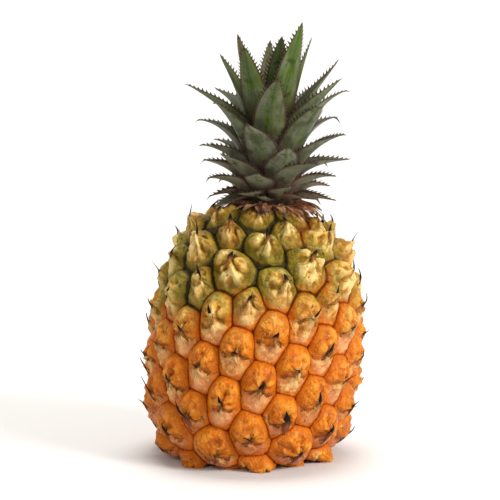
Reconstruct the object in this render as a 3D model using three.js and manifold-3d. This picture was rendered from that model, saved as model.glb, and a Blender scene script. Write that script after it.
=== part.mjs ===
import * as THREE from "three";
import { ConvexHull } from "three/addons/math/ConvexHull.js";
import { mergeVertices } from "three/addons/utils/BufferGeometryUtils.js";
import Module from "manifold-3d";

const wasm = await Module();
wasm.setup();

// A small pineapple that stands on its own base, leaning a little to the right.
// Millimetres, +Z up, front towards -Y. The origin is the middle of the cut stalk, on the surface.
// Angles are in degrees, measured round the axis from the front towards the right.

const SEED = 7.3;
const DRAW_FACTORS = [12.9898, 78.233, 43758.5453];
const GAP = 0.3;
const MERGE_DISTANCE = 1e-4;

// Fruit: a body of revolution, measured in the grooves between the eyes
const FRUIT_RADIUS = 50.5;
const WIDEST_HEIGHT = 61;
const LOWER_DEPTH = 74;
const LOWER_ROUNDNESS = 2.9;
const UPPER_DEPTH = 69;
const UPPER_ROUNDNESS = 2.15;
const FRUIT_LEAN = 5.8;
const OUTLINE_STEPS = 1600;

// Eyes: they follow one spiral, each turned by nearly the golden angle from the one before
const EYE_TURN = 137.36;
const FIRST_EYE_ANGLE = 7.5;
const WIDEST_EYE = -7;
const EYE_AREA = 385;
const TOP_EYE_SHRINK = 0.6;
const LOWEST_EYE_RADIUS = 15;
const HIGHEST_EYE_RADIUS = 19;

// Relief of an eye: groove at its edge, dome inside, bract rising to a beak with a dried spike.
// A roundness is the power of the distance from the beak that brings the surface down to the
// groove. The beak sits this far towards the crown and to the right, on a map of radius 1.
const EYE_HEIGHT = 4.3;
const DOME_ROUNDNESS = 5;
const BRACT_ROUNDNESS = 1.9;
const DOME_BEGINS = [-0.5, 0.7];
const BEAK_HEIGHT = 1.9;
const BEAK_BREADTH = 0.53;
const BEAK_SHARPNESS = 1.3;
const BEAK_UPWARDS = 0.035;
const BEAK_ASIDE = [-0.012, 0.045];
const BEAK_ASIDE_DRAW = 2;
const EYE_RELIEF_AT_CROWN = 0.55;
const GROOVE_ABOVE_FLOOR = 3.4;

// Eyes on the shoulder stand up as ridged peaks that point to the crown
const SHOULDER = [82, 112];
const PEAK_HEIGHT = 3.4;
const PEAK_CLIMB = 2.8;
const PEAK_BREADTH = 0.87;
const PEAK_SHARPNESS = 1.5;
const PEAK_AT_CROWN = 0;

// Dried spikes on the beaks. They are worn off near the surface that the fruit stands on.
const SPIKE_LENGTH = [2.2, 5.8];
const SPIKE_LENGTH_DRAW = 1;
const SPIKE_RISE = 42;
const SPIKES_FROM = [9, 23];
const SPIKE_AT_CROWN = 0.3;

// Rings of facets round a beak, as shares of the way to the groove
const SPIKE_RING = 0.12;
const INNER_RING = 0.52;
const OUTER_RING = 0.85;

// Cut stalk under the fruit, and the seat of the crown on top of it
const STALK_RADIUS = 10.5;
const STALK_HEIGHT = 6;
const STALK_SIDES = 24;
const SEAT_HEIGHT = 127.8;
const SEAT_RADIUS = 15;
const SEAT_DEPTH = 3;
const SEAT_SIDES = 32;
const CUT_THROUGH = 10;
const COLLAR_EDGE = 0.5;
const COLLAR_STEP = 2;

// Crown: a stem whose leaves follow one spiral. Pairs give the lowest leaf and the top one,
// and threes the lowest, the largest and the top one. Heights are above the crown's seat.
const CROWN_LEAN = 2;
const FOOT_HEIGHT = 3.5;
const STEM_HEIGHT = 50;
const STEM_POINT = 4;
const STEM_RADIUS = [14, 6];
const STEM_SIDES = 16;
const LEAF_COUNT = 53;
const LEAF_TURN = 137.9;
const FIRST_LEAF_ANGLE = 164;
const ROOT_HEIGHT = [5.6, 43.6];
const ROOT_RISE = 3;
const ROOT_IN_STEM = 0.85;
const TIP_HEIGHT = [3.7, 98];
const TIP_RISE = 1.44;
const LEAF_REACH = [33, 41, 14];
const REACH_GROWS = [0, 60];
const REACH_SHRINKS = [66, 100];
const LEAF_WIDTH = [10, 19, 13];
const WIDTH_GROWS = [0, 0.5];
const WIDTH_SHRINKS = [0.7, 1];

// Arch of a leaf: it leaves the stem at the first pitch and ends at the second
const ROOT_PITCH = [30, 76];
const ROOT_PITCH_GROWS = [0, 0.45];
const TIP_PITCH = [-14, 2, 68];
const TIP_PITCH_LEVELS = [0.1, 0.5];
const TIP_PITCH_RISES = [0.55, 1];
const ARCH_HANDLES = [0.42, 0.33];

// Leaves at the front stand more upright, are flatter and keep their breadth further up
const FRONT_ROOT_PITCH = 8;
const FRONT_TIP_PITCH = 42;
const FRONT_FLATNESS = 0.4;
const FRONT_FULLNESS = 1.2;

// Outline of a leaf: a share of its breadth at the root, widening from there, rounded to the tip
const LEAF_BASE = [0.75, 0.5];
const BASE_NARROWS = [0, 0.3];
const WIDENING = 1.6;
const TIP_ROUNDNESS = [2.1, 0.9];

// Section of a leaf: margins raised over the midrib by a share of the half width, and teeth
const LEAF_CHANNEL = 0.66;
const CHANNEL_FADE = 2.5;
const LEAF_THICKNESS = 1.7;
const THICKNESS_AT_TIP = 0.45;
const TOOTH_HEIGHT = 1.3;
const TOOTH_LEAN = 0.6;
const TOOTH_SLOPE = 0.72;
const TOOTHED_STRETCH = [0.14, 0.93];
const TEETH = [3, 4];
const MORE_TEETH_FROM = 0.35;

// How far leaves stray from the rule: which draw, and by how much either way
const LEAF_STRAYS = {
  reach: [2, 1],
  height: [3, 0.6],
  turn: [4, 2],
  twist: [5, 14],
  drift: [6, 9],
  width: [7, 0.8],
  rootPitch: [8, 6],
  tipPitch: [9, 9],
};

// Leaves that grew off the rule: further out, higher, turned
const ODD_LEAVES = {
  2: [1.5, 3, 0],
  4: [-8, 4, 0],
  6: [-2, -1.5, 0],
  9: [-6, 0, 0],
  11: [-3.5, 0, 0],
  12: [-7, 0, 0],
  23: [3.5, -4.5, 0],
  27: [0, -6, 0],
  28: [2.5, 0, 0],
  32: [-1, -5, 0],
  33: [0, 5, 0],
  36: [-2, 5.5, 0],
  38: [0, 6.5, -3],
  40: [5, -3.5, 0],
  43: [0, 9.5, 0],
  44: [3, 1.5, 0],
  46: [0, 15, 0],
  47: [0, 2, 18],
  48: [0, 3, 0],
  50: [-12, -14, 0],
  51: [0, -5, 16],
  52: [-4, -16, 0],
};

// Withered small leaves round the foot of the crown. They droop to the right, where the
// fruit's shoulder is lower.
const FOOT_LEAF_COUNT = 16;
const FOOT_LEAF_REACH = 28;
const FOOT_LEAF_WIDTH = 6.4;
const FOOT_LEAF_BASE = 0.7;
const FOOT_LEAF_TEETH = 1;
const FOOT_LEAF_CHANNEL = 0.2;
const FOOT_LEAF_THICKNESS = 1.1;
const FOOT_LEAF_ROOT = [13.2, 1.6];
const FOOT_LEAF_STEP = 0.04;
const FOOT_LEAF_TIP_HEIGHT = 1.5;
const FOOT_LEAF_PITCH = [42, -32];
const FOOT_LEAF_DROOP = 1.2;
const FOOT_LEAF_STRAYS = {
  reach: [21, 3],
  height: [22, 1.2],
  rootPitch: [23, 5],
  turn: [24, 6],
  twist: [25, 10],
  drift: [26, 12],
  width: [27, 1],
};

// Colour and roughness of each piece
const LOOKS = {
  fruit: [0xd98a2b, 0.5],
  stalk: [0xc9b68c, 0.8],
  crown: [0x5f7558, 0.6],
  crown_foot_leaves: [0x7a4a3a, 0.75],
};

const radians = THREE.MathUtils.degToRad;
const { lerp, smoothstep } = THREE.MathUtils;

// A seeded draw from 0 to 1, the same for the same item and purpose.
function draw(item, purpose) {
  const [byItem, byPurpose, spread] = DRAW_FACTORS;
  const x = Math.sin(item * byItem + purpose * byPurpose + SEED) * spread;
  return x - Math.floor(x);
}

// How far an item strays from the rule in each named way.
function strayOf(strays, item) {
  return (name) => {
    const [purpose, size] = strays[name];
    return (draw(item, purpose) * 2 - 1) * size;
  };
}

// Solids

function solidOf(geometry) {
  const plain = geometry.clone();
  plain.deleteAttribute("normal");
  plain.deleteAttribute("uv");
  const merged = mergeVertices(plain, MERGE_DISTANCE);
  return new wasm.Manifold(
    new wasm.Mesh({
      numProp: 3,
      vertProperties: new Float32Array(merged.attributes.position.array),
      triVerts: new Uint32Array(merged.index.array),
    }),
  );
}

function geometryOf(solid) {
  const mesh = solid.getMesh();
  const geometry = new THREE.BufferGeometry();
  geometry.setAttribute("position", new THREE.BufferAttribute(mesh.vertProperties, 3));
  geometry.setIndex(new THREE.BufferAttribute(mesh.triVerts, 1));
  return geometry;
}

// The union of closed geometries, with any hollow that it seals filled.
function joined(geometries) {
  const whole = geometries.map(solidOf).reduce((sum, next) => sum.add(next));
  return outerBody(whole);
}

function outerBody(solid) {
  const bodies = solid.decompose();
  return bodies.reduce((best, body) => (body.volume() > best.volume() ? body : best));
}

function indexed(points, triangles) {
  const geometry = new THREE.BufferGeometry().setFromPoints(points);
  geometry.setIndex(triangles.flat());
  return geometry;
}

// A closed solid of revolution about Z from [radius, height] pairs, listed upwards.
function turned(outline, sides) {
  const points = outline.map(([radius, height]) => new THREE.Vector2(radius, height));
  return new THREE.LatheGeometry(points, sides).rotateX(Math.PI / 2);
}

function cylinder(radius, low, high, sides) {
  return turned([[0, low], [radius, low], [radius, high], [0, high]], sides);
}

// The fruit's outline, as rows from the lower pole to the upper pole.
// mercator is the height on a conformal map, and eye counts the eyes of the spiral up to there.
function outlineRows(steps = OUTLINE_STEPS) {
  const rows = [];
  for (let i = 1; i < steps; i++) {
    const tilt = ((i / steps) * 2 - 1) * (Math.PI / 2);
    const up = tilt > 0;
    const depth = up ? UPPER_DEPTH : LOWER_DEPTH;
    const roundness = up ? UPPER_ROUNDNESS : LOWER_ROUNDNESS;
    const share = Math.abs(Math.sin(tilt));
    rows.push({
      radius: FRUIT_RADIUS * (1 - share ** roundness) ** (1 / roundness),
      height: WIDEST_HEIGHT + depth * Math.sin(tilt),
      length: 0,
      mercator: 0,
      eye: 0,
    });
  }
  rows.slice(1).forEach((row, i) => {
    const last = rows[i];
    const step = Math.hypot(row.radius - last.radius, row.height - last.height);
    row.length = last.length + step;
    row.mercator = last.mercator + (2 * step) / (row.radius + last.radius);
  });
  return countEyes(rows);
}

function countEyes(rows) {
  const widest = rows[(rows.length - 1) / 2];
  const whole = rows[rows.length - 1].length - widest.length;
  rows.slice(1).forEach((row, i) => {
    const last = rows[i];
    const share = Math.max(0, (row.length - widest.length) / whole);
    const area = EYE_AREA * (1 - TOP_EYE_SHRINK * share ** 2);
    const girth = Math.PI * (row.radius + last.radius);
    row.eye = last.eye + (girth * (row.length - last.length)) / area;
  });
  const { eye, mercator } = widest;
  rows.forEach((row) => {
    row.eye += WIDEST_EYE - eye;
    row.mercator -= mercator;
  });
  return rows;
}

const ROWS = outlineRows();

// The outline at the place where the rising value of key reaches value, with its outward normal.
function outlineAt(key, value) {
  let low = 0;
  let high = ROWS.length - 1;
  while (high - low > 1) {
    const middle = (low + high) >> 1;
    if (ROWS[middle][key] < value) low = middle;
    else high = middle;
  }
  const [a, b] = [ROWS[low], ROWS[high]];
  const share = THREE.MathUtils.clamp((value - a[key]) / (b[key] - a[key]), 0, 1);
  const step = Math.hypot(b.radius - a.radius, b.height - a.height);
  return {
    radius: lerp(a.radius, b.radius, share),
    height: lerp(a.height, b.height, share),
    mercator: lerp(a.mercator, b.mercator, share),
    outwards: (b.height - a.height) / step,
    upwards: (a.radius - b.radius) / step,
  };
}

// A point of the map sphere, which keeps the angles of the fruit's surface.
function onMap(angle, mercator) {
  const flat = 1 / Math.cosh(mercator);
  return new THREE.Vector3(
    flat * Math.sin(angle),
    -flat * Math.cos(angle),
    Math.tanh(mercator),
  );
}

// From the map sphere to the leaning fruit: lift is the height above the groove surface, and
// climb the distance along it towards the crown. The underside settles flat on the surface.
function onFruit(place, lift, climb = 0) {
  const angle = Math.atan2(place.x, -place.y);
  const at = outlineAt("mercator", Math.atanh(place.z));
  const radius = at.radius + at.outwards * lift - at.upwards * climb;
  const height = at.height + at.upwards * lift + at.outwards * climb;
  const point = new THREE.Vector3(radius * Math.sin(angle), -radius * Math.cos(angle), height);
  point.applyAxisAngle(new THREE.Vector3(0, 1, 0), radians(FRUIT_LEAN));
  const lowest = GROOVE_ABOVE_FLOOR * Math.max(0, 1 - lift / EYE_HEIGHT);
  point.z = Math.max(point.z, lowest);
  return point;
}

// Eyes

function eyeCentres() {
  const places = [];
  for (let eye = Math.ceil(ROWS[0].eye); eye < ROWS[ROWS.length - 1].eye; eye++) {
    const at = outlineAt("eye", eye);
    const limit = at.height > WIDEST_HEIGHT ? HIGHEST_EYE_RADIUS : LOWEST_EYE_RADIUS;
    if (at.radius < limit) continue;
    places.push({
      eye,
      centre: onMap(radians(FIRST_EYE_ANGLE + EYE_TURN * eye), at.mercator),
      height: at.height,
      radius: at.radius,
    });
  }
  return places;
}

// Neighbouring eyes: the hull of points on a sphere joins each eye to those round it.
function neighbourTriangles(centres) {
  const index = new Map(centres.map((centre, i) => [centre, i]));
  const hull = new ConvexHull().setFromPoints(centres);
  return hull.faces.map((face) => {
    const first = face.edge;
    const corners = [first, first.next, first.next.next];
    return corners.map((edge) => index.get(edge.head().point));
  });
}

// An eye with the place of its beak on the map sphere, its relief and its spike.
function eyeOf(place) {
  const { centre, eye, height } = place;
  const up = new THREE.Vector3(0, 0, 1).addScaledVector(centre, -centre.z).normalize();
  const right = up.clone().cross(centre);
  const beak = centre
    .clone()
    .addScaledVector(up, BEAK_UPWARDS)
    .addScaledVector(right, lerp(...BEAK_ASIDE, draw(eye, BEAK_ASIDE_DRAW)));
  return {
    ...place,
    up,
    beak: beak.normalize(),
    relief: nearCrown(place, EYE_RELIEF_AT_CROWN),
    peak: smoothstep(height, ...SHOULDER) * nearCrown(place, PEAK_AT_CROWN),
    spike: spikeLength(place),
  };
}

// The bare middle of the underside or of the top, as a cell without relief.
function poleCell(eye, z) {
  const centre = new THREE.Vector3(0, 0, z);
  return { eye, centre, beak: centre, up: new THREE.Vector3(0, 1, 0), relief: 0, peak: 0, spike: 0 };
}

// From the value at the crown's edge to 1 on the flanks, for eyes on the upper half.
function nearCrown({ height, radius }, value) {
  const away = smoothstep(radius, HIGHEST_EYE_RADIUS, HIGHEST_EYE_RADIUS * 2);
  return height > WIDEST_HEIGHT ? lerp(value, 1, away) : 1;
}

function spikeLength(place) {
  const length = lerp(...SPIKE_LENGTH, draw(place.eye, SPIKE_LENGTH_DRAW));
  return length * smoothstep(place.height, ...SPIKES_FROM) * nearCrown(place, SPIKE_AT_CROWN);
}

// A hump that is 1 at the beak and 0 from the share called breadth outwards.
function hump(share, breadth, sharpness) {
  return Math.max(0, 1 - share / breadth) ** sharpness;
}

// The surface inside an eye: share is 0 at the beak and 1 in the groove, and upward is 1 towards
// the crown. The upper part is domed, and the bract below rises evenly to the beak.
function onEye(eye, place, share, upward) {
  const dome = 1 - share ** DOME_ROUNDNESS;
  const bract = 1 - share ** BRACT_ROUNDNESS;
  const upper = smoothstep(upward, ...DOME_BEGINS);
  const peak = eye.peak * hump(share, PEAK_BREADTH, PEAK_SHARPNESS);
  const lift =
    EYE_HEIGHT * lerp(bract, dome, upper) +
    BEAK_HEIGHT * hump(share, BEAK_BREADTH, BEAK_SHARPNESS) +
    PEAK_HEIGHT * peak;
  return onFruit(place, eye.relief * lift, PEAK_CLIMB * peak);
}

function spikeTip(eye) {
  const rise = radians(SPIKE_RISE);
  const lift = eye.relief * (EYE_HEIGHT + BEAK_HEIGHT + PEAK_HEIGHT * eye.peak);
  const climb = PEAK_CLIMB * eye.peak;
  return onFruit(
    eye.beak,
    lift + eye.spike * Math.cos(rise),
    climb + eye.spike * Math.sin(rise),
  );
}

// Points with names, so that the facets of neighbouring cells share them.
class NamedPoints {
  points = [];
  seen = new Map();

  at(name, make) {
    if (!this.seen.has(name)) this.seen.set(name, this.points.push(make()) - 1);
    return this.seen.get(name);
  }
}

// Each neighbouring pair of cells both ways round, with the triangles left and right of the way.
function neighbourWays(triangles) {
  const faceOf = new Map();
  triangles.forEach(([a, b, c], face) => {
    [[a, b], [b, c], [c, a]].forEach((edge) => faceOf.set(edge.join(), face));
  });
  return [...faceOf].map(([edge, left]) => {
    const [a, b] = edge.split(",").map(Number);
    return { a, b, left, right: faceOf.get(`${b},${a}`) };
  });
}

function middleOf(places) {
  return places.reduce((sum, place) => sum.add(place), new THREE.Vector3()).normalize();
}

// The skin: each cell is a fan of facets from its beak through three rings to its groove.
function fruitGeometry() {
  const eyes = eyeCentres().map(eyeOf);
  const cells = [...eyes, poleCell("top", 1), poleCell("underside", -1)];
  const centres = cells.map((cell) => cell.centre);
  const triangles = neighbourTriangles(centres);
  const corners = triangles.map((triangle) => middleOf(triangle.map((cell) => centres[cell])));
  const named = new NamedPoints();

  const ring = (cell, name, towards, share) =>
    named.at(`${cell.eye} ${name} ${share}`, () => {
      const upward = towards.clone().sub(cell.beak).normalize().dot(cell.up);
      const place = cell.beak.clone().lerp(towards, share).normalize();
      return onEye(cell, place, share, upward);
    });
  const groove = (name, place) => named.at(name, () => onFruit(place, 0));

  const faces = [];
  for (const { a, b, left, right } of neighbourWays(triangles)) {
    const cell = cells[a];
    const edge = middleOf([centres[a], centres[b]]);
    const tip = named.at(`${cell.eye} tip`, () => spikeTip(cell));
    const [l1, l2, l3] = [SPIKE_RING, INNER_RING, OUTER_RING].map((share) =>
      ring(cell, `corner ${left}`, corners[left], share),
    );
    const [r1, r2, r3] = [SPIKE_RING, INNER_RING, OUTER_RING].map((share) =>
      ring(cell, `corner ${right}`, corners[right], share),
    );
    const m3 = ring(cell, `edge ${b}`, edge, OUTER_RING);
    const l4 = groove(`corner ${left}`, corners[left]);
    const r4 = groove(`corner ${right}`, corners[right]);
    const m4 = groove(`edge ${[a, b].sort()}`, edge);
    faces.push([tip, r1, l1]);
    faces.push([r1, r2, l2], [r1, l2, l1]);
    faces.push([r2, r3, m3], [r2, m3, l2], [l2, m3, l3]);
    faces.push([r3, r4, m4], [r3, m4, m3], [m3, m4, l4], [m3, l4, l3]);
  }
  return indexed(named.points, faces);
}

// Leaves

// A route of radius and height that leaves root at one pitch and comes to tip at another.
function arched(root, tip, rootPitch, tipPitch) {
  const [rise, fall] = [rootPitch, tipPitch].map(
    (pitch) => new THREE.Vector2(Math.cos(radians(pitch)), Math.sin(radians(pitch))),
  );
  const [first, second] = ARCH_HANDLES.map((share) => share * root.distanceTo(tip));
  return new THREE.CubicBezierCurve(
    root,
    root.clone().addScaledVector(rise, first),
    tip.clone().addScaledVector(fall, -second),
    tip,
  );
}

// Place and directions of a blade at a share of its route: side is across it, and inner away
// from its outer face. Twist and drift turn it about its route and round the stem.
function bladeFrame({ angle, twist, drift, route }, share) {
  const at = route.getPoint(share);
  const along = route.getTangent(share);
  const bearing = angle + drift * (share ** 2 - 1);
  const out = new THREE.Vector3(Math.sin(bearing), -Math.cos(bearing), 0);
  const side = new THREE.Vector3(Math.cos(bearing), Math.sin(bearing), 0);
  const forward = out.clone().multiplyScalar(along.x).setZ(along.y);
  const inner = out.clone().multiplyScalar(-along.y).setZ(along.x);
  return {
    middle: out.multiplyScalar(at.x).setZ(at.y),
    side: side.applyAxisAngle(forward, twist * share),
    inner: inner.applyAxisAngle(forward, twist * share),
    forward,
  };
}

// A channelled blade with toothed margins. Each step along it has a left and a right margin
// point, and one above and one below the midrib.
function blade(leaf) {
  const { channel, teeth, thickness } = leaf;
  const steps = bladeSteps(teeth);
  const points = [];
  const faces = [];
  steps.forEach(({ share, tooth }) => {
    const { middle, side, inner, forward } = bladeFrame(leaf, share);
    const half = bladeHalfWidth(share, leaf);
    const edge = half + tooth * TOOTH_HEIGHT;
    const fold = channel * half * (1 - share ** CHANNEL_FADE);
    const deep = thickness * lerp(1, THICKNESS_AT_TIP, share);
    const margin = (sign) =>
      middle
        .clone()
        .addScaledVector(side, sign * edge)
        .addScaledVector(inner, fold)
        .addScaledVector(forward, tooth * TOOTH_LEAN);
    points.push(
      margin(-1),
      middle.clone().addScaledVector(inner, deep / 2),
      margin(1),
      middle.clone().addScaledVector(inner, -deep / 2),
    );
  });
  for (let i = 0; i < steps.length - 1; i++) {
    const [l, t, r, b] = [0, 1, 2, 3].map((k) => i * 4 + k);
    faces.push([l, t + 4, t], [l, l + 4, t + 4], [t, r + 4, r], [t, t + 4, r + 4]);
    faces.push([r, b + 4, b], [r, r + 4, b + 4], [b, l + 4, l], [b, b + 4, l + 4]);
  }
  const end = points.push(bladeFrame(leaf, 1).middle) - 1;
  const [l, t, r, b] = [4, 3, 2, 1].map((k) => end - k);
  faces.push([l, end, t], [t, end, r], [r, end, b], [b, end, l]);
  faces.push([0, 1, 2], [0, 2, 3]);
  return indexed(points, faces);
}

// Steps along a blade: between the bare ones, each tooth leans towards the tip.
function bladeSteps(teeth) {
  const [first, last] = TOOTHED_STRETCH;
  const pitch = (last - first) / teeth;
  const steps = [{ share: 0, tooth: 0 }];
  for (let i = 0; i < teeth; i++) {
    const share = first + pitch * i;
    steps.push({ share, tooth: 0 }, { share: share + pitch * TOOTH_SLOPE, tooth: 1 });
  }
  steps.push({ share: last, tooth: 0 });
  return steps;
}

// Half the breadth of a blade, which widens from the share called base and tapers to its tip.
function bladeHalfWidth(share, { width, base, fullness }) {
  const [inner, outer] = TIP_ROUNDNESS;
  const widening = Math.min(1, base + WIDENING * share);
  return (width / 2) * widening * (1 - share ** (inner + fullness)) ** outer;
}

// A size that grows over one range of a value and shrinks over a later one.
function grown([low, large, top], value, grows, shrinks) {
  const size = lerp(low, large, smoothstep(value, ...grows));
  return lerp(size, top, smoothstep(value, ...shrinks));
}

// A green leaf. u is 0 for the lowest and 1 for the top one.
function crownLeaf(leaf) {
  const u = leaf / (LEAF_COUNT - 1);
  const stray = strayOf(LEAF_STRAYS, leaf);
  const [further, higher, turn] = ODD_LEAVES[leaf] ?? [0, 0, 0];
  const angle = radians(FIRST_LEAF_ANGLE + LEAF_TURN * leaf + turn + stray("turn"));
  const front = Math.max(0, Math.cos(angle)) ** 2;
  const low = lerp(...ROOT_HEIGHT, u ** ROOT_RISE);
  const height = lerp(...TIP_HEIGHT, u ** TIP_RISE);
  const reach = grown(LEAF_REACH, height, REACH_GROWS, REACH_SHRINKS);
  const tipPitch = grown(TIP_PITCH, u, TIP_PITCH_LEVELS, TIP_PITCH_RISES);
  const rootPitch = lerp(...ROOT_PITCH, smoothstep(u, ...ROOT_PITCH_GROWS));
  const route = arched(
    new THREE.Vector2(stemRadius(low) * ROOT_IN_STEM, low),
    new THREE.Vector2(reach + further + stray("reach"), height + higher + stray("height")),
    rootPitch - FRONT_ROOT_PITCH * front + stray("rootPitch"),
    tipPitch + (FRONT_TIP_PITCH - tipPitch / 2) * front + stray("tipPitch"),
  );
  return blade({
    angle,
    route,
    twist: radians(stray("twist")),
    drift: radians(stray("drift")),
    width: grown(LEAF_WIDTH, u, WIDTH_GROWS, WIDTH_SHRINKS) + stray("width"),
    base: lerp(...LEAF_BASE, smoothstep(u, ...BASE_NARROWS)),
    fullness: FRONT_FULLNESS * front,
    channel: LEAF_CHANNEL * (1 - FRONT_FLATNESS * front),
    teeth: TEETH[u < MORE_TEETH_FROM ? 0 : 1],
    thickness: LEAF_THICKNESS,
  });
}

function stemRadius(height) {
  return lerp(...STEM_RADIUS, Math.min(1, height / STEM_HEIGHT));
}

function crownGeometry() {
  const low = FOOT_HEIGHT + GAP;
  const stem = turned(
    [
      [0, low],
      [stemRadius(low), low],
      [STEM_RADIUS[1], STEM_HEIGHT],
      [0, STEM_HEIGHT + STEM_POINT],
    ],
    STEM_SIDES,
  );
  const leaves = Array.from({ length: LEAF_COUNT }, (_, leaf) => crownLeaf(leaf));
  return geometryOf(joined([stem, ...leaves]));
}

// A withered leaf: short, narrow, bent out over the fruit's shoulder.
function footLeaf(leaf) {
  const stray = strayOf(FOOT_LEAF_STRAYS, leaf);
  const angle = radians(LEAF_TURN * leaf + stray("turn"));
  const droop = FOOT_LEAF_DROOP * Math.sin(angle);
  const [radius, height] = FOOT_LEAF_ROOT;
  const [rootPitch, tipPitch] = FOOT_LEAF_PITCH;
  const route = arched(
    new THREE.Vector2(radius, height + FOOT_LEAF_STEP * leaf),
    new THREE.Vector2(
      FOOT_LEAF_REACH + stray("reach"),
      FOOT_LEAF_TIP_HEIGHT - droop + stray("height"),
    ),
    rootPitch + stray("rootPitch"),
    tipPitch,
  );
  return blade({
    angle,
    route,
    twist: radians(stray("twist")),
    drift: radians(stray("drift")),
    width: FOOT_LEAF_WIDTH + stray("width"),
    base: FOOT_LEAF_BASE,
    fullness: 0,
    channel: FOOT_LEAF_CHANNEL,
    teeth: FOOT_LEAF_TEETH,
    thickness: FOOT_LEAF_THICKNESS,
  });
}

function footGeometry() {
  const collar = turned(
    [
      [0, -SEAT_DEPTH],
      [SEAT_RADIUS, -SEAT_DEPTH],
      [SEAT_RADIUS, COLLAR_EDGE],
      [STEM_RADIUS[0] - COLLAR_STEP, FOOT_HEIGHT],
      [0, FOOT_HEIGHT],
    ],
    SEAT_SIDES,
  );
  const leaves = Array.from({ length: FOOT_LEAF_COUNT }, (_, leaf) => footLeaf(leaf));
  return geometryOf(joined([collar, ...leaves]));
}

// The crown stands on its seat and leans on from the fruit
const crown = new THREE.Group();
crown.position.set(0, 0, SEAT_HEIGHT);
crown.position.applyAxisAngle(new THREE.Vector3(0, 1, 0), radians(FRUIT_LEAN));
crown.rotation.y = radians(CROWN_LEAN);
crown.updateMatrix();

// The fruit with the round pockets that the stalk and the foot of the crown sit in.
function fruitWithSeats() {
  const seatRadius = SEAT_RADIUS + GAP;
  const seatFloor = -SEAT_DEPTH - GAP;
  const seat = cylinder(seatRadius, seatFloor, 2 * CUT_THROUGH, SEAT_SIDES).applyMatrix4(
    crown.matrix,
  );
  const socket = cylinder(STALK_RADIUS + GAP, -CUT_THROUGH, STALK_HEIGHT + GAP, STALK_SIDES);
  return geometryOf(
    solidOf(fruitGeometry()).subtract(solidOf(seat)).subtract(solidOf(socket)),
  );
}

function stalkGeometry() {
  return cylinder(STALK_RADIUS, 0, STALK_HEIGHT, STALK_SIDES);
}

function piece(name, geometry) {
  const [color, roughness] = LOOKS[name];
  const material = new THREE.MeshStandardMaterial({ color, roughness, metalness: 0 });
  const mesh = new THREE.Mesh(geometry, material);
  mesh.name = name;
  return mesh;
}

const pineapple = new THREE.Group();
pineapple.add(piece("fruit", fruitWithSeats()));
pineapple.add(piece("stalk", stalkGeometry()));
crown.add(piece("crown", crownGeometry()));
crown.add(piece("crown_foot_leaves", footGeometry()));
pineapple.add(crown);

export default pineapple;
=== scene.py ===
import math

import bmesh
import bpy
import numpy as np
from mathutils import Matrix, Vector, noise


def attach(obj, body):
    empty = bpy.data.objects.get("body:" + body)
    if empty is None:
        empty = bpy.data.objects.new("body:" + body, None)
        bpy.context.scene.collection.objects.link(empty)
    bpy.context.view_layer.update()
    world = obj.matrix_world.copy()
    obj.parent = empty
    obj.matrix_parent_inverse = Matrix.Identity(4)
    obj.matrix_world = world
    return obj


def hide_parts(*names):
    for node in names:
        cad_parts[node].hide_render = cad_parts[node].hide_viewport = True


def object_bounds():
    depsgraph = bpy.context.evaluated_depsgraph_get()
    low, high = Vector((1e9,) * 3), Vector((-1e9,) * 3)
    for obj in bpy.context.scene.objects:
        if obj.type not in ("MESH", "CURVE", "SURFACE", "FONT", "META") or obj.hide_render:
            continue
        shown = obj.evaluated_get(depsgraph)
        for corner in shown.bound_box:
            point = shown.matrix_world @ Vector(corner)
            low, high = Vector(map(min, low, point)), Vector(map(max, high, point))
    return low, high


# The looks of a small ripe pineapple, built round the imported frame.
# The forms follow the same rules as the frame's solids, with the same seeded draws.
# Lengths are in millimetres until a mesh is made. Angles are in degrees, measured round the
# axis from the front towards the right.

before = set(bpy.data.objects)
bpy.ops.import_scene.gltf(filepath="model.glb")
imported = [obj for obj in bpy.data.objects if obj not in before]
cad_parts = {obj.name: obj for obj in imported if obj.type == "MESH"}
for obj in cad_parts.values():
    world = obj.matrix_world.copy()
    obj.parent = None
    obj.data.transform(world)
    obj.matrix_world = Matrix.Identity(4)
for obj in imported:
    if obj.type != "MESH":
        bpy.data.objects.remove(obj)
cad_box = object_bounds()

MM = 0.001
SEED = 7.3

# Fruit
FRUIT_RADIUS = 50.5
WIDEST_HEIGHT = 61
LOWER_DEPTH = 74
LOWER_ROUNDNESS = 2.9
UPPER_DEPTH = 69
UPPER_ROUNDNESS = 2.15
FRUIT_LEAN = 5.8

# Eyes along their spiral
EYE_TURN = 137.36
FIRST_EYE_ANGLE = 7.5
WIDEST_EYE = -7
EYE_AREA = 385
TOP_EYE_SHRINK = 0.6
LOWEST_EYE_RADIUS = 15
HIGHEST_EYE_RADIUS = 19

# Relief of an eye
EYE_HEIGHT = 4.3
BEAK_HEIGHT = 1.9
BEAK_SHIFT = 0.035
EYE_RELIEF_AT_CROWN = 0.55
GROOVE_ABOVE_FLOOR = 3.4
BEAK_ASIDE = (-0.012, 0.045)
DOME_ROUNDNESS = 5.5
BRACT_ROUNDNESS = 1.7
CORNER_ROUNDING = 5.0
UPWARD_SWELL = 1.17
DEEPEST = 1.6
GROOVE_FILLET = 0.8
LOBE_SWELL = 1.3
CREASE_DEPTH = 1.1
WRINKLE = 0.8
LUMP = 2.0
RIDGES = 0.9
KEEL = 0.9
BEAK_BREADTH = 0.53
BEAK_SHARPNESS = 1.3
SHOULDER = (82, 112)
PEAK_HEIGHT = 3.4
PEAK_CLIMB = 2.8
PEAK_BREADTH = 0.87
PEAK_SHARPNESS = 1.5

# Dried bract tips and the fibres beside them
TIP_LENGTH = (3.0, 6.8)
TIP_WIDTH = 2.1
TIP_STANDS_FROM = 0.45
TIP_STANDING = (34, 80)
TIP_CURL = (-25, 40)
FIBRES_AN_EYE = 3

# The green of the shoulder: the heights where it begins and is full, and how much lower it
# reaches on the left
GREENING = (66, 106)
GREEN_LOWER_ON_LEFT = 13

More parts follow.
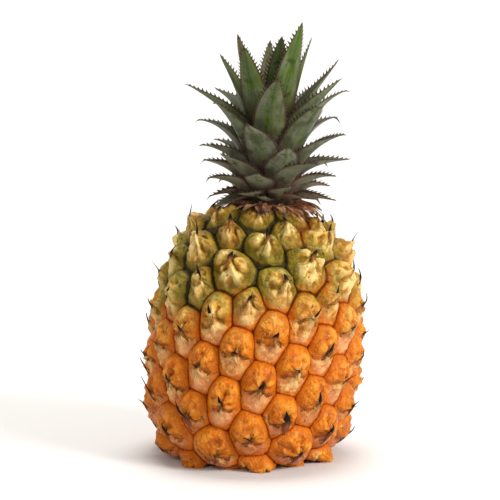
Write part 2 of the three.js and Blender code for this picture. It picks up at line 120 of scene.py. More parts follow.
# Crown
SEAT_HEIGHT = 127.8
SEAT_RADIUS = 15
CROWN_LEAN = 2
FOOT_HEIGHT = 3.5
STEM_HEIGHT = 50
STEM_RADIUS = (14, 6)
LEAF_COUNT = 53
LEAF_TURN = 137.9
FIRST_LEAF_ANGLE = 164
LEAF_FOOT = (5.6, 43.6)
TIP_HEIGHT = (3.7, 98)
TIP_RISE = 1.44
LEAF_REACH = (33, 41, 14)
LEAF_WIDTH = (10, 19, 13)
LEAF_THICKNESS = 1.5
LEAF_CHANNEL = 0.66
TOOTH_HEIGHT = 1.9
TOOTH_PITCH = 2.2
FOOT_LEAF_COUNT = 16
FRILL_COUNT = 64
BLADE_WIDENS = 1.6
TIP_ROUNDNESS = 2.1
CHANNEL_FADE = 2.5
HOOKED_FROM = 0.93
MARGIN_THICKNESS = 0.16
TOOTH_BACK = 0.42
TOOTH_FRONT = 0.16
TOOTH_LEAN = 0.55
TOOTH_HALF_THICKNESS = 0.22

# Leaves that grew off the rule: more reach, more height, turned by
STRAY_LEAVES = {
    2: (1.5, 3, 0),
    4: (-8, 4, 0),
    6: (-2, -1.5, 0),
    9: (-6, 0, 0),
    11: (-3.5, 0, 0),
    12: (-7, 0, 0),
    23: (3.5, -4.5, 0),
    27: (0, -6, 0),
    28: (2.5, 0, 0),
    32: (-1, -5, 0),
    33: (0, 5, 0),
    36: (-2, 5.5, 0),
    38: (0, 6.5, -3),
    40: (5, -3.5, 0),
    43: (0, 9.5, 0),
    44: (3, 1.5, 0),
    46: (0, 15, 0),
    47: (0, 2, 18),
    48: (0, 3, 0),
    50: (-12, -14, 0),
    51: (0, -5, 16),
    52: (-4, -16, 0),
}

# The photograph's camera
CAMERA_DISTANCE = 1000
CAMERA_RISE = 9.5
AIM_HEIGHT = 66
AIM_OFFSET = (3.4, 40.6)
VIEW_WIDTH = 260
SENSOR_WIDTH = 36


def draw(item, purpose):
    """A seeded draw from 0 to 1, the same for the same item and purpose."""
    x = np.sin(item * 12.9898 + purpose * 78.233 + SEED) * 43758.5453
    return x - np.floor(x)


def lerp(a, b, share):
    return a + (b - a) * share


def smoothstep(value, low, high):
    share = np.clip((value - low) / (high - low), 0, 1)
    return share * share * (3 - 2 * share)


def unit(vectors):
    return vectors / np.linalg.norm(vectors, axis=-1, keepdims=True)


def turned_about_y(points, degrees):
    turn = math.radians(degrees)
    x, y, z = points[..., 0], points[..., 1], points[..., 2]
    return np.stack(
        [x * math.cos(turn) + z * math.sin(turn), y, z * math.cos(turn) - x * math.sin(turn)], -1
    )


# Meshes


def piece(name, points, faces, material, attributes):
    """A mesh of the object, from points in millimetres, that rides on the one body."""
    mesh = bpy.data.meshes.new(name)
    mesh.from_pydata(np.asarray(points) * MM, [], [list(face) for face in faces])
    for key, values in attributes.items():
        values = np.asarray(values, np.float32)
        vector = values.ndim == 2
        layer = mesh.attributes.new(key, "FLOAT_VECTOR" if vector else "FLOAT", "POINT")
        layer.data.foreach_set("vector" if vector else "value", values.ravel())
    mesh.shade_smooth()
    made = bpy.data.objects.new(name, mesh)
    bpy.context.scene.collection.objects.link(made)
    made.data.materials.append(material)
    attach(made, "root")
    return made


def inside_box(points):
    low, high = (np.array(corner) / MM for corner in cad_box)
    return np.clip(points, low, high)


class Gathered:
    """Points, faces and attributes of many small forms that become one mesh."""

    def __init__(self):
        self.points = []
        self.faces = []
        self.attributes = {}
        self.count = 0

    def add(self, points, faces, **attributes):
        points = np.asarray(points).reshape(-1, 3)
        self.points.append(points)
        self.faces += [[self.count + corner for corner in face] for face in faces]
        for key, values in attributes.items():
            filled = np.broadcast_to(np.ravel(values), len(points))
            self.attributes.setdefault(key, []).append(filled)
        self.count += len(points)

    def piece(self, name, material, slot, place=lambda points: points):
        attributes = {key: np.concatenate(parts) for key, parts in self.attributes.items()}
        points = inside_box(place(np.concatenate(self.points)))
        return piece(name, points, self.faces, material, attributes)


def tube_faces(rows, around):
    """Quads of a tube of rows rings, with both ends closed."""
    faces = []
    for row in range(rows - 1):
        for k in range(around):
            near = row * around
            following = (k + 1) % around
            faces.append(
                [near + k, near + following, near + around + following, near + around + k]
            )
    faces.append(list(range(around))[::-1])
    faces.append(list(range((rows - 1) * around, rows * around)))
    return faces


# Outline of the fruit, the map sphere and the eyes on it


def fruit_outline(steps=1600):
    tilt = (np.arange(1, steps) / steps * 2 - 1) * math.pi / 2
    upper = tilt > 0
    depth = np.where(upper, UPPER_DEPTH, LOWER_DEPTH)
    roundness = np.where(upper, UPPER_ROUNDNESS, LOWER_ROUNDNESS)
    share = np.abs(np.sin(tilt))
    radius = FRUIT_RADIUS * (1 - share**roundness) ** (1 / roundness)
    height = WIDEST_HEIGHT + depth * np.sin(tilt)
    step = np.hypot(np.diff(radius), np.diff(height))
    length = np.concatenate([[0], np.cumsum(step)])
    mercator = np.concatenate([[0], np.cumsum(2 * step / (radius[1:] + radius[:-1]))])
    widest = len(tilt) // 2
    climbed = np.maximum(0, (length - length[widest]) / (length[-1] - length[widest]))
    area = EYE_AREA * (1 - TOP_EYE_SHRINK * climbed**2)
    eyes = math.pi * (radius[1:] + radius[:-1]) * step / area[1:]
    eye = np.concatenate([[0], np.cumsum(eyes)])
    return {
        "radius": radius,
        "height": height,
        "mercator": mercator - mercator[widest],
        "eye": eye + WIDEST_EYE - eye[widest],
        "outwards": np.gradient(height, length),
        "upwards": -np.gradient(radius, length),
    }


OUTLINE = fruit_outline()


def outline_at(key, value, *wanted):
    return [np.interp(value, OUTLINE[key], OUTLINE[name]) for name in wanted]


def on_map(angle, mercator):
    flat = 1 / np.cosh(mercator)
    return np.stack([flat * np.sin(angle), -flat * np.cos(angle), np.tanh(mercator)], -1)


def mercator_of(place):
    return np.arctanh(np.clip(place[..., 2], -1 + 1e-9, 1 - 1e-9))


def on_fruit(place, lift, climb=0.0):
    """From the map sphere to the leaning fruit, lifted off the groove surface and moved upwards."""
    angle = np.arctan2(place[..., 0], -place[..., 1])
    radius, height, outwards, upwards = outline_at(
        "mercator", mercator_of(place), "radius", "height", "outwards", "upwards"
    )
    radius = radius + outwards * lift - upwards * climb
    height = height + upwards * lift + outwards * climb
    point = np.stack([radius * np.sin(angle), -radius * np.cos(angle), height], -1)
    point = turned_about_y(point, FRUIT_LEAN)
    lowest = GROOVE_ABOVE_FLOOR * np.maximum(0, 1 - lift / EYE_HEIGHT)
    point[..., 2] = np.maximum(point[..., 2], np.minimum(lowest, GROOVE_ABOVE_FLOOR))
    return point


def near_crown(height, radius, value):
    away = smoothstep(radius, HIGHEST_EYE_RADIUS, HIGHEST_EYE_RADIUS * 2)
    return np.where(height > WIDEST_HEIGHT, lerp(value, 1, away), 1)


POLES = np.array([[0.0, 0, 1], [0, 0, -1]])


class Eyes:
    """The eyes of the spiral, with a bare cell at each pole, as arrays of one row an eye."""

    def __init__(self):
        number = np.arange(math.ceil(OUTLINE["eye"][0]), OUTLINE["eye"][-1])
        height, radius, mercator = outline_at("eye", number, "height", "radius", "mercator")
        limit = np.where(height > WIDEST_HEIGHT, HIGHEST_EYE_RADIUS, LOWEST_EYE_RADIUS)
        kept = radius >= limit
        self.number = number[kept]
        self.height = height[kept]
        self.radius = radius[kept]
        self.angle = np.radians(FIRST_EYE_ANGLE + EYE_TURN * self.number)
        self.centre = on_map(self.angle, mercator[kept])
        self.scale = self.radius * np.cosh(mercator[kept])
        self.relief = near_crown(self.height, self.radius, EYE_RELIEF_AT_CROWN)
        self.shoulder = smoothstep(self.height, *SHOULDER) * near_crown(self.height, self.radius, 0)
        self.all_centres = np.concatenate([self.centre, POLES])
        north = np.array([0.0, 0, 1])
        up = unit(north - self.centre * self.centre[:, 2:])
        aside = lerp(*BEAK_ASIDE, draw(self.number, 2))[:, None] * np.cross(up, self.centre)
        self.beak = unit(self.centre + up * BEAK_SHIFT + aside)
        self.north = unit(north - self.beak * self.beak[:, 2:])
        self.east = np.cross(self.north, self.beak)
        self.triangles = self.neighbour_triangles()

    def neighbour_triangles(self):
        """Threes of neighbouring cells: the hull of points on a sphere joins them."""
        hull = bmesh.new()
        for centre in self.all_centres:
            hull.verts.new(centre)
        hull.verts.index_update()
        bmesh.ops.convex_hull(hull, input=hull.verts)
        triangles = [[vert.index for vert in face.verts] for face in hull.faces]
        hull.free()
        return triangles

    def corners(self):
        """Each cell's corners on the map sphere: the middles of its triangles."""
        corners = [[] for _ in self.all_centres]
        for triangle in self.triangles:
            corner = unit(self.all_centres[triangle].sum(0))
            for cell in triangle:
                corners[cell].append(corner)
        return corners

    def neighbours(self):
        """The cells round each cell."""
        found = [set() for _ in self.all_centres]
        for triangle in self.triangles:
            for cell in triangle:
                found[cell].update(triangle)
        return [sorted(cells - {number}) for number, cells in enumerate(found)]


def reach_in(corners, start, north, east, turn):
    """How far each way leads from start to a cell's edge, as angles on the map sphere.

    The second of the two answers is to the same edge with its corners rounded off."""
    corners = np.array(corners)
    ahead = corners @ start
    x, y = corners @ east / ahead, corners @ north / ahead
    order = np.argsort(np.arctan2(x, y))
    x, y = x[order], y[order]
    to_x, to_y = np.roll(x, -1) - x, np.roll(y, -1) - y
    way_x, way_y = np.sin(turn)[:, None], np.cos(turn)[:, None]
    crossing = (x * to_y - y * to_x) / (way_x * to_y - way_y * to_x)
    met = np.arctan(np.where(crossing > 1e-6, crossing, 1e6))
    rounded = (met**-CORNER_ROUNDING).sum(1) ** (-1 / CORNER_ROUNDING)
    return met.min(1), rounded


def hump(held, breadth, sharpness):
    """1 at the beak and 0 from the share called breadth outwards."""
    return np.maximum(0, 1 - held / breadth) ** sharpness


def body_lift(held, upward, relief, shoulder):
    """Height of an eye's plain body over the groove surface, below 0 outside its outline."""
    dome = 1 - held**DOME_ROUNDNESS
    bract = 1 - held**BRACT_ROUNDNESS
    lift = EYE_HEIGHT * lerp(bract, dome, smoothstep(upward, -0.5, 0.7))
    lift = lift + BEAK_HEIGHT * hump(held, BEAK_BREADTH, BEAK_SHARPNESS)
    lift = lift + PEAK_HEIGHT * shoulder * hump(held, PEAK_BREADTH, PEAK_SHARPNESS)
    return relief * np.maximum(lift, -DEEPEST)


EYES = Eyes()

# Fine skin of the fruit

WAYS_AROUND = 50
RINGS = (
    *(0.06, 0.12, 0.19, 0.27, 0.35, 0.43, 0.51, 0.59, 0.67, 0.74, 0.81),
    *(0.87, 0.92, 0.97, 1.02, 1.07, 1.13, 1.20, 1.28),
)
HIDDEN = -0.7


def per_eye(values):
    """Values of one an eye, shaped to go with samples by eye, ring and way."""
    return np.asarray(values, float)[:, None, None]


class Cells:
    """Samples of the skin: rings round the beak of each eye and the middle of each bare pole.

    The rings run on past the cell's edge, and neighbouring eyes meet where their bodies cross."""

    def __init__(self):
        self.turn = np.arange(WAYS_AROUND) / WAYS_AROUND * 2 * math.pi
        self.start = np.concatenate([EYES.beak, POLES])
        self.north = np.concatenate([EYES.north, [[0.0, 1, 0], [0, 1, 0]]])
        self.east = np.cross(self.north, self.start)
        outlines = [
            reach_in(*cell, self.turn)
            for cell in zip(EYES.corners(), self.start, self.north, self.east, strict=True)
        ]
        reach, rounded = np.swapaxes(outlines, 0, 1)
        self.outline = rounded * lerp(1, UPWARD_SWELL, smoothstep(np.cos(self.turn), -0.2, 0.9))
        sine, cosine = (f(self.turn)[None, :, None] for f in (np.sin, np.cos))
        way = self.east[:, None] * sine + self.north[:, None] * cosine
        share = np.array([0.0, *RINGS])
        step = reach[:, None] * share[None, :, None]
        self.shape = step.shape
        self.place = self.start[:, None, None] * np.cos(step)[..., None]
        self.place = self.place + way[:, None] * np.sin(step)[..., None]

        bare = np.zeros(len(POLES))
        self.relief = per_eye(np.concatenate([EYES.relief, bare]))
        self.shoulder = per_eye(np.concatenate([EYES.shoulder, bare]))
        self.scale = per_eye(np.concatenate([EYES.scale, bare + 1]))
        self.number = per_eye(np.concatenate([EYES.number, 900 + np.arange(len(POLES))]))
        self.real = (self.relief > 0) * 1.0

        self.held = step / self.outline[:, None]
        self.upward = np.broadcast_to(np.cos(self.turn), step.shape)
        self.body = body_lift(self.held, self.upward, self.relief, self.shoulder)
        self.groove = self.body - self.bodies_around()
        self.rim = (1 - self.held) * self.outline[:, None] * self.scale
        size = per_eye(reach.mean(1))
        self.across = step * np.sin(self.turn) / size
        self.up = step * self.upward / size + 0.17
        sway = 0.08 * np.sin(self.up * 5 + self.number * 1.7)
        sway = sway + 0.06 * np.sin(self.up * 9 + self.number * 2.9)
        self.across = self.across + sway * np.minimum(1, self.held * 1.4)
        self.edge = self.lobe_edge()

    def bodies_around(self):
        """The highest of the neighbouring eyes' bodies at each sample."""
        highest = np.full(self.shape, -DEEPEST)
        for cell, neighbours in enumerate(EYES.neighbours()):
            for other in neighbours:
                body = self.body_at(other, self.place[cell])
                highest[cell] = np.maximum(highest[cell], body)
        return highest

    def body_at(self, cell, places):
        """Height of one eye's plain body at places that may lie outside its cell."""
        ahead = places @ self.start[cell]
        x, y = places @ self.east[cell] / ahead, places @ self.north[cell] / ahead
        turn = np.arctan2(x, y)
        outline = np.interp(turn, self.turn, self.outline[cell], period=2 * math.pi)
        held = np.arctan(np.hypot(x, y)) / outline
        relief, shoulder = self.relief[cell].item(), self.shoulder[cell].item()
        return body_lift(held, np.cos(turn), relief, shoulder)

    def vary(self, purpose, middle, size):
        """A value of each eye's own, up to size to either side of the middle."""
        return middle + (draw(self.number, purpose) - 0.5) * 2 * size

    def lobe_edge(self):
        """How far outside the two lobes above the bract, in eye radii; negative inside them."""
        left_x, left_y = self.vary(41, -0.46, 0.10), self.vary(42, 0.42, 0.10)
        right_x, right_y = self.vary(43, 0.48, 0.08), self.vary(44, 0.34, 0.12)
        wide, tall = self.vary(45, 0.50, 0.08), self.vary(46, 0.56, 0.12)
        left = np.hypot((self.across - left_x) / wide, (self.up - left_y) / tall) - 1
        right = np.hypot((self.across - right_x) / 0.42, (self.up - right_y) / 0.52) - 1
        return np.minimum(np.minimum(left, right) * 0.5, 0.52 - self.up)

    def lift(self):
        """Height of the skin over the groove surface."""
        held = self.held
        inner = self.real * (1 - np.minimum(held, 1) ** 4) * smoothstep(self.groove, 0, 1.6)
        past = np.minimum(0, self.groove)
        fillet = np.sqrt(self.groove**2 / 4 + GROOVE_FILLET**2) - self.groove / 2
        fillet = np.where(past < 0, GROOVE_FILLET + past, fillet)
        keel = np.exp(-((self.across / 0.14) ** 2)) * smoothstep(self.up, -0.7, -0.1)
        detail = KEEL * keel * smoothstep(self.up, 0.4, 0.15)
        crease = np.exp(-((self.edge / 0.06) ** 2)) * (self.up < 0.45)
        detail = detail - CREASE_DEPTH * crease
        detail = detail + (1 + self.shoulder) * (WRINKLE * self.folds() + 0.8 * LUMP * self.lumps())
        self.raised = self.relief * inner * detail
        swell = self.vary(47, LOBE_SWELL, LOBE_SWELL * 0.5) * smoothstep(-self.edge, 0, 0.25)
        return self.body + self.raised + self.relief * (fillet + inner * swell)

    def climb(self):
        """How far the skin of the shoulder is drawn up towards the crown."""
        return PEAK_CLIMB * self.shoulder * hump(self.held, PEAK_BREADTH, PEAK_SHARPNESS)

    def folds(self):
        """Uneven folds that run towards the beak, from about -1 to 1."""
        fold = np.zeros(self.held.shape)
        for k, (count, sway) in enumerate(((5, 2.2), (9, 3.4), (14, 5.1), (23, 6.7))):
            phase = draw(self.number, 50 + k) * 2 * math.pi
            waves = np.sin(self.turn * count + phase + sway * self.held * np.sin(phase))
            fold = fold + waves / (1.3 + k)
        return fold * np.exp(-(((self.held - 0.5) / 0.38) ** 2)) * 0.6

    def lumps(self):
        """Low lumps a few millimetres across, stronger on the bract."""
        places = on_fruit(self.place, np.zeros(self.shape)).reshape(-1, 3)
        coarse = np.array([noise.noise(Vector(p) / 3.4) for p in places])
        fine = np.array([noise.noise(Vector(p) / 1.8) for p in places])
        ridged = np.array([noise.noise(Vector(p) / 5.0 + Vector((7, 3, 1))) for p in places])
        lumps = coarse + 0.55 * fine + RIDGES * (0.25 - np.abs(ridged))
        return lumps.reshape(self.shape) * lerp(0.75, 1.0, smoothstep(self.edge, -0.1, 0.1))

    def green(self):
        """How green the skin is: more towards the crown, and further down on the left."""
        height = outline_at("mercator", mercator_of(self.place), "height")[0]
        bearing = np.arctan2(self.place[..., 0], -self.place[..., 1])
        left = np.cos(bearing + math.radians(80))
        greened = smoothstep(height + GREEN_LOWER_ON_LEFT * np.maximum(0, left), *GREENING)
        return greened * (0.9 + 0.1 * left) * (1 - 0.1 * smoothstep(height, 110, 122))

    def flat(self, values):
        """Samples in the order of the mesh's points: one in the middle, then ring by ring."""
        values = np.broadcast_to(values, self.shape)
        rings = values[:, 1:].reshape(len(values), -1)
        return np.concatenate([values[:, 0, :1], rings], 1).ravel()

    def faces(self):
        """Fans and quads of every cell, without those hidden deep inside a neighbour."""
        cells, rows, around = self.shape
        way = np.arange(around)
        following = (way + 1) % around
        fan = np.stack([np.zeros_like(way), 1 + following, 1 + way], 1)
        groove = self.flat(self.groove)
        faces = []
        for cell in range(cells):
            first = cell * (1 + (rows - 1) * around)
            faces += (fan + first).tolist()
            for row in range(rows - 2):
                near = first + 1 + row * around
                far = near + around
                ring = np.stack([near + way, near + following, far + following, far + way], 1)
                faces += ring[groove[ring].max(1) > HIDDEN].tolist()
        return faces


def fruit_skin():
    cells = Cells()
    points = on_fruit(cells.place, cells.lift(), cells.climb())
    points = np.stack([cells.flat(points[..., axis]) for axis in range(3)], 1)
    tilt = 1 - 0.3 * cells.held
    ray = (np.sin(cells.turn) * tilt, cells.upward * tilt, cells.held + cells.number * 7.3)
    attributes = {
        "across": cells.flat(cells.across),
        "up": cells.flat(cells.up),
        "ray": np.stack([cells.flat(values) for values in ray], 1),
        "groove": cells.flat(cells.groove / np.maximum(cells.relief, 0.4)),
        "rim": cells.flat(cells.rim),
        "raised": cells.flat(cells.raised),
        "lobe_edge": cells.flat(cells.edge),
        "green": cells.flat(cells.green()),
        "tone": cells.flat(draw(cells.number, 34)),
        "real": cells.flat(cells.real),
    }
    faces = cells.faces()
    made = piece("fruit_skin", inside_box(points), faces, Rind().painted(), attributes)
    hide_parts("fruit")


# Bract tips and fibres


def eye_way(eye, turn):
    return EYES.east[eye] * math.sin(turn) + EYES.north[eye] * math.cos(turn)


def beak_lift(eye):
    return EYES.relief[eye] * (EYE_HEIGHT + BEAK_HEIGHT + EYES.shoulder[eye] * PEAK_HEIGHT)


def bract_tips():
    gathered = Gathered()
    for eye in range(len(EYES.number)):
        add_bract_tip(gathered, eye)
    gathered.piece("bract_tips", tip_material(), "withered_leaf")


def add_bract_tip(gathered, eye, stations=13):
    """A keeled strip that runs up the bract to the beak and stands free above it."""
    number = EYES.number[eye]
    height = EYES.height[eye]
    low = 1 - smoothstep(height, 22, 48)
    clear = smoothstep(height, 4, 18)
    crown = near_crown(height, EYES.radius[eye], 0.5)
    length = lerp(*TIP_LENGTH, draw(number, 1) ** 1.3) * clear * crown * (1 + 0.5 * low)
    rooted = lerp(2.2, 4.5, draw(number, 51)) * (1 + 0.9 * low)
    width = TIP_WIDTH * lerp(0.75, 1.25, draw(number, 52)) * (1 + 0.5 * low)
    rise = math.radians(lerp(*TIP_STANDING, draw(number, 53)))
    curl = math.radians(lerp(*TIP_CURL, draw(number, 54)))
    sway = (draw(number, 55) - 0.5) * 1.1
    side = EYES.east[eye]
    scale = EYES.scale[eye]

    share = np.linspace(0, 1, stations)
    laid = np.clip(1 - share / TIP_STANDS_FROM, 0, 1)
    free = np.clip((share - TIP_STANDS_FROM) / (1 - TIP_STANDS_FROM), 0, 1)
    down = eye_way(eye, math.pi + sway * 0.4)
    way_back = laid * rooted / scale
    surface = (1 - laid**2 * 0.10) * (1 - laid**1.1 * 0.30 * BEAK_HEIGHT / EYE_HEIGHT)
    lift = beak_lift(eye) * surface - laid * rooted * 0.16 + 0.30 - 0.5 * laid**3
    heading = rise + curl * free
    run = np.concatenate([[0], np.cumsum(np.diff(free) * length)])
    lift = lift + run * np.cos(heading)
    climb = run * np.sin(heading) + EYES.shoulder[eye] * PEAK_CLIMB * (1 - laid * rooted / 11)
    drifted = run * math.sin(sway)
    half = width / 2 * (0.35 + 0.65 * smoothstep(share, 0, 0.4)) * (1 - free**1.5) + 0.08
    keel = 0.16 + 0.32 * (1 - free) * smoothstep(share, 0, 0.3)

    def line(offset, raised):
        place = EYES.beak[eye] * np.cos(way_back)[:, None] + down * np.sin(way_back)[:, None]
        place = place + side * ((offset + drifted) / scale)[:, None]
        return on_fruit(unit(place), lift + raised, climb)

    rings = [line(-half, 0), line(0, keel), line(half, 0), line(0, -keel)]
    points = np.stack(rings, 1).reshape(-1, 3)
    gathered.add(
        points,
        tube_faces(stations, 4),
        along=np.repeat(share, 4),
        tone=draw(number, 56),
        low=low,
    )


def fibres():
    gathered = Gathered()
    for eye in range(len(EYES.number)):
        for k in range(FIBRES_AN_EYE):
            add_fibre(gathered, eye, k)
    gathered.piece("fibres", fibre_material(), "withered_leaf")


def add_fibre(gathered, eye, k, stations=6):
    """A fine dry thread that stands beside the bract tip."""
    item = EYES.number[eye] * 7 + k * 3.1
    if EYES.height[eye] < 14 or draw(item, 60) < 0.25:
        return
    length = lerp(1.8, 5.2, draw(item, 61)) * near_crown(EYES.height[eye], EYES.radius[eye], 0.4)
    rise = math.radians(lerp(20, 75, draw(item, 62)))
    curl = math.radians(lerp(-50, 50, draw(item, 63)))
    sway = (draw(item, 64) - 0.5) * 2.0
    offset = (draw(item, 65) - 0.5) * 2.4
    share = np.linspace(0, 1, stations)
    run = share * length
    heading = rise + curl * share
    lift = beak_lift(eye) - 0.5 + run * np.cos(heading)
    climb = run * np.sin(heading) + EYES.shoulder[eye] * PEAK_CLIMB - 0.4
    aside = (offset + run * math.sin(sway)) / EYES.scale[eye]
    thick = 0.11 * (1 - 0.7 * share)
    rings = []
    for corner in range(3):
        turn = corner * 2 * math.pi / 3
        east = aside + thick * math.cos(turn) / EYES.scale[eye]
        place = unit(EYES.beak[eye] + EYES.east[eye] * east[:, None])
        rings.append(on_fruit(place, lift + thick * math.sin(turn), climb))
    points = np.stack(rings, 1).reshape(-1, 3)
    faces = tube_faces(stations, 3)
    gathered.add(points, faces, along=np.repeat(share, 3), tone=draw(item, 66))


# Leaves


def in_crown(points):
    seat = turned_about_y(np.array([0.0, 0, SEAT_HEIGHT]), FRUIT_LEAN)
    return turned_about_y(points, CROWN_LEAN) + seat


def curve_through(start, rise, fall, tip, share):
    """Places along a cubic curve of radius and height, and its directions there."""
    share = share[:, None]
    left = 1 - share
    at = start * left**3 + rise * 3 * left**2 * share + fall * 3 * left * share**2 + tip * share**3
    along = (rise - start) * left**2 + (fall - rise) * 2 * left * share + (tip - fall) * share**2
    return at, unit(along)


def arched(start, tip, start_pitch, tip_pitch, handles=(0.42, 0.33)):
    """A route that leaves start at one pitch and comes to tip at another."""
    chord = math.hypot(*(tip - start))
    ways = [np.array([math.cos(a), math.sin(a)]) for a in np.radians((start_pitch, tip_pitch))]
    return start, start + ways[0] * handles[0] * chord, tip - ways[1] * handles[1] * chord, tip


def about(vectors, axis, turn):
    """Vectors turned about axes at right angles to them."""
    turn = turn[:, None]
    return vectors * np.cos(turn) + np.cross(axis, vectors) * np.sin(turn)


class Blade:
    """A channelled blade along a route of radius and height, bent, twisted and swung aside."""

    def __init__(
        self, angle, twist, drift, route, width, base, channel, thickness, hook=0.0, full=0.0
    ):
        self.angle = angle
        self.twist = twist
        self.drift = drift
        self.route = route
        self.width = width
        self.base = base
        self.channel = channel
        self.thickness = thickness
        self.hook = hook
        self.full = full

    def at(self, share):
        """Middle line, side, inner and forward directions and half width at each share."""
        place, along = curve_through(*self.route, share)
        curled = np.clip((share - HOOKED_FROM) / (1 - HOOKED_FROM), 0, 1) ** 2
        place = place + self.hook * curled[:, None] * np.array([-0.35, 1.0])
        bearing = self.angle + self.drift * (share**2 - 1)
        zero = np.zeros_like(bearing)
        out = np.stack([np.sin(bearing), -np.cos(bearing), zero], 1)
        side = np.stack([np.cos(bearing), np.sin(bearing), zero], 1)
        up = np.array([0.0, 0, 1])
        middle = out * place[:, :1] + up * place[:, 1:]
        forward = out * along[:, :1] + up * along[:, 1:]
        inner = -out * along[:, 1:] + up * along[:, :1]
        side = about(side, forward, self.twist * share)
        inner = about(inner, forward, self.twist * share)
        widening = np.minimum(1, self.base + BLADE_WIDENS * share)
        taper = np.maximum(0, 1 - share ** (TIP_ROUNDNESS + self.full)) ** 0.9
        half = self.width / 2 * widening * taper
        return middle, side, inner, forward, half

    def surface(self, share, across, face):
        """Points at each share and across, on the inner face where face is 1, outer where -1."""
        middle, side, inner, _, half = self.at(share)
        fold = self.channel * (1 - share**CHANNEL_FADE) * half
        rise = fold[:, None] * np.abs(across) ** 1.7
        deep = self.thickness * (1 - 0.6 * share)
        thick = np.minimum(deep, half + 0.12)[:, None] * lerp(MARGIN_THICKNESS, 1, 1 - across**2) / 2
        sideways = side[:, None] * (half[:, None] * across)[..., None]
        inwards = inner[:, None] * (rise + face * thick)[..., None]
        return middle[:, None] + sideways + inwards

    def length(self):
        place, _ = curve_through(*self.route, np.linspace(0, 1, 20))
        return np.linalg.norm(np.diff(place, axis=0), axis=1).sum()


ACROSS = np.sin(np.linspace(-1, 1, 11) * math.pi / 2)
LEAF_STATIONS = 26


def add_blade(gathered, blade, stations=LEAF_STATIONS, **marks):
    share = np.linspace(0, 1, stations) ** 0.9
    top = blade.surface(share, ACROSS, 1)
    under = blade.surface(share, ACROSS[::-1], -1)
    around = 2 * len(ACROSS)
    points = np.concatenate([top, under], 1).reshape(-1, 3)
    sides = np.concatenate([ACROSS, ACROSS[::-1]])
    outside = np.concatenate([np.zeros(len(ACROSS)), np.ones(len(ACROSS))])
    gathered.add(
        points,
        tube_faces(stations, around),
        along=np.repeat(share, around),
        across=np.tile(sides, stations),
        outside=np.tile(outside, stations),
        **marks,
    )


def add_teeth(gathered, blade, height, first=0.10, last=0.97, **marks):
    """Hooked teeth along both margins, which lean towards the tip."""
    length = blade.length()
    count = max(2, round(length * (last - first) / TOOTH_PITCH))
    share = first + (last - first) * (np.arange(count) + 0.5) / count
    step = TOOTH_PITCH / length
    for sign in (-1, 1):
        margin = np.array([float(sign)])
        back = blade.surface(share - step * TOOTH_BACK, margin, 0)[:, 0]
        front = blade.surface(np.minimum(share + step * TOOTH_FRONT, 0.995), margin, 0)[:, 0]
        _, side, inner, forward, half = blade.at(share)
        outward = unit(side * sign + inner * blade.channel)
        size = height * (0.75 + 0.5 * draw(np.arange(count) + blade.angle, 70 + sign))
        size = (size * np.clip(half / 3, 0.35, 1))[:, None]
        apex = front + outward * size + forward * size * TOOTH_LEAN
        thick = inner * TOOTH_HALF_THICKNESS
        middle = (back + front) / 2
        points = np.stack([back, middle + thick, front, middle - thick, apex], 1)
        faces = [
            [5 * k + a, 5 * k + b, 5 * k + 4]
            for k in range(count)
            for a, b in ((0, 1), (1, 2), (2, 3), (3, 0))
        ]
        gathered.add(
            points,
            faces,
            along=np.repeat(share, 5),
            across=sign * np.tile([1.0, 1.0, 1.0, 1.0, 1.5], count),
            outside=0.5,
            **marks,
        )


def stem_radius(height):
    return lerp(*STEM_RADIUS, min(1, height / STEM_HEIGHT))


def wobbles(leaf, shift=0):
    """A function of purpose and size that strays up to the size either way on each leaf."""
    return lambda purpose, size: (draw(leaf, purpose + shift) - 0.5) * 2 * size


def crown_leaf(leaf):
    """A green leaf: the lowest small and arched outwards, then broad, then upright."""
    u = leaf / (LEAF_COUNT - 1)
    further, higher, turned = STRAY_LEAVES.get(leaf, (0, 0, 0))
    wobble = wobbles(leaf)
    foot = lerp(*LEAF_FOOT, u**3)
    height = lerp(*TIP_HEIGHT, u**TIP_RISE)
    low_reach, widest_reach, top_reach = LEAF_REACH
    reach = lerp(low_reach, widest_reach, smoothstep(height, 0, 60))
    reach = lerp(reach, top_reach, smoothstep(height, 66, 100))
    low_width, widest, top_width = LEAF_WIDTH
    width = lerp(low_width, widest, smoothstep(u, 0, 0.5))
    width = lerp(width, top_width, smoothstep(u, 0.7, 1))
    start = np.array([stem_radius(foot) * 0.85, foot])
    tip = np.array([reach + further + wobble(2, 1), height + higher + wobble(3, 0.6)])
    start_pitch = lerp(30, 76, smoothstep(u, 0, 0.45))
    tip_pitch = lerp(-14, 2, smoothstep(u, 0.1, 0.5)) + 66 * smoothstep(u, 0.55, 1)
    angle = math.radians(FIRST_LEAF_ANGLE + LEAF_TURN * leaf + turned + wobble(4, 2))
    front = max(0, math.cos(angle)) ** 2
    tip_pitch += (42 - 0.5 * tip_pitch) * front
    start_pitch -= 8 * front
    return Blade(
        angle=angle,
        twist=math.radians(wobble(5, 14)),
        drift=math.radians(wobble(6, 9)),
        route=arched(start, tip, start_pitch + wobble(8, 6), tip_pitch + wobble(9, 9)),
        width=width + wobble(7, 0.8),
        base=lerp(0.75, 0.5, smoothstep(u, 0, 0.3)),
        channel=LEAF_CHANNEL * (1 - 0.4 * front),
        thickness=LEAF_THICKNESS,
        hook=lerp(-4, 1.5, draw(leaf, 83)) * smoothstep(u, 0.85, 0.6),
        full=1.2 * front,
    )


def crown_leaves():
    gathered = Gathered()
    for leaf in range(LEAF_COUNT):
        blade = crown_leaf(leaf)
        marks = {"leaf": leaf / (LEAF_COUNT - 1), "tone": draw(leaf, 213)}
        add_blade(gathered, blade, **marks)
        add_teeth(gathered, blade, TOOTH_HEIGHT, **marks)
    add_stem(gathered)
    made = gathered.piece("crown_leaves", leaf_material(), "green_leaf", in_crown)
    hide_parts("crown")


